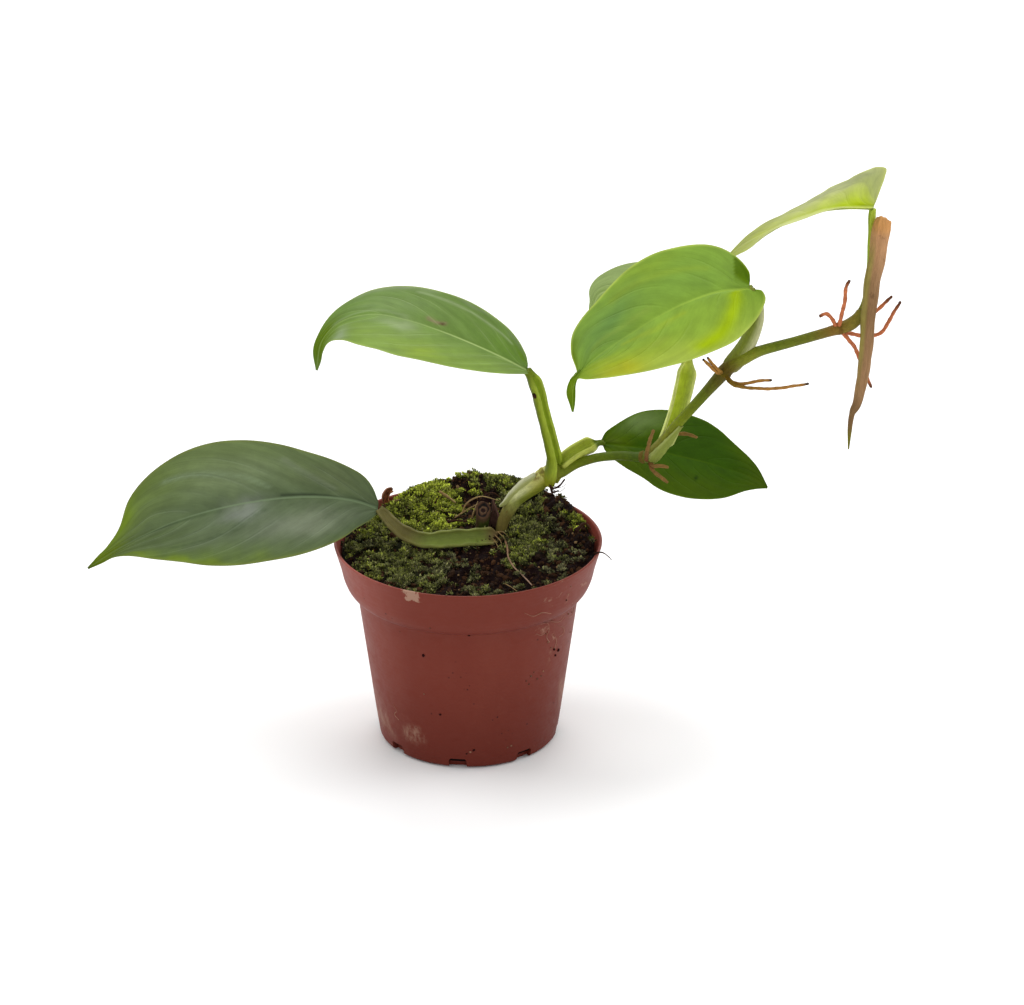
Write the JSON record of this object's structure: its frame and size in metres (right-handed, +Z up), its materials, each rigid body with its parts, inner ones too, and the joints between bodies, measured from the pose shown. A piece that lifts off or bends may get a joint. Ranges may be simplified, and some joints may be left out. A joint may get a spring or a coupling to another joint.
{
  "type": "potted climbing philodendron",
  "caption": "Young climbing philodendron with ovate green leaves on winged stalks and aerial roots at its nodes, growing over the rim of a round plastic nursery pot.",
  "frame": {"origin": "middle of the pot's flat underside", "axes": "+Z up; +X towards the shoot tip that hangs over the rim; +Y to the back, away from the picture's viewer"},
  "size_m": [0.3606, 0.1202, 0.2607],
  "materials": {
    "pot": "satin",
    "soil": "rough",
    "pale_root": "matte",
    "stem": "satin",
    "old_stem": "matte",
    "bark": "rough",
    "old_sheath": "matte",
    "petiole_dark": "satin",
    "petiole_light": "satin",
    "leaf_old": "semi-gloss",
    "leaf_mid": "semi-gloss",
    "leaf_dark": "semi-gloss",
    "leaf_bright": "semi-gloss",
    "leaf_grey": "semi-gloss",
    "leaf_young": "satin",
    "bud_sheath": "matte",
    "aerial_root": "matte",
    "aerial_root_red": "matte"
  },
  "bodies": {
    "root": {"pot": "pot", "soil": "soil", "roots": "pale_root", "stem": "stem", "old_stem_stub": "old_stem", "bark_flake": "bark", "old_sheath": "old_sheath", "surface_root": "pale_root", "petiole_1": "petiole_dark", "petiole_2": "petiole_dark", "petiole_3": "petiole_light", "petiole_4": "petiole_light", "petiole_5": "petiole_light", "petiole_6": "petiole_dark", "leaf_1": "leaf_old", "leaf_2": "leaf_mid", "leaf_3": "leaf_dark", "leaf_4": "leaf_bright", "leaf_5": "leaf_grey", "leaf_6": "leaf_young", "bud_sheath": "bud_sheath", "aerial_roots_a": "aerial_root", "aerial_roots_b": "aerial_root", "aerial_roots_c": "aerial_root", "aerial_roots_d": "aerial_root_red"}
  },
  "joints": []
}
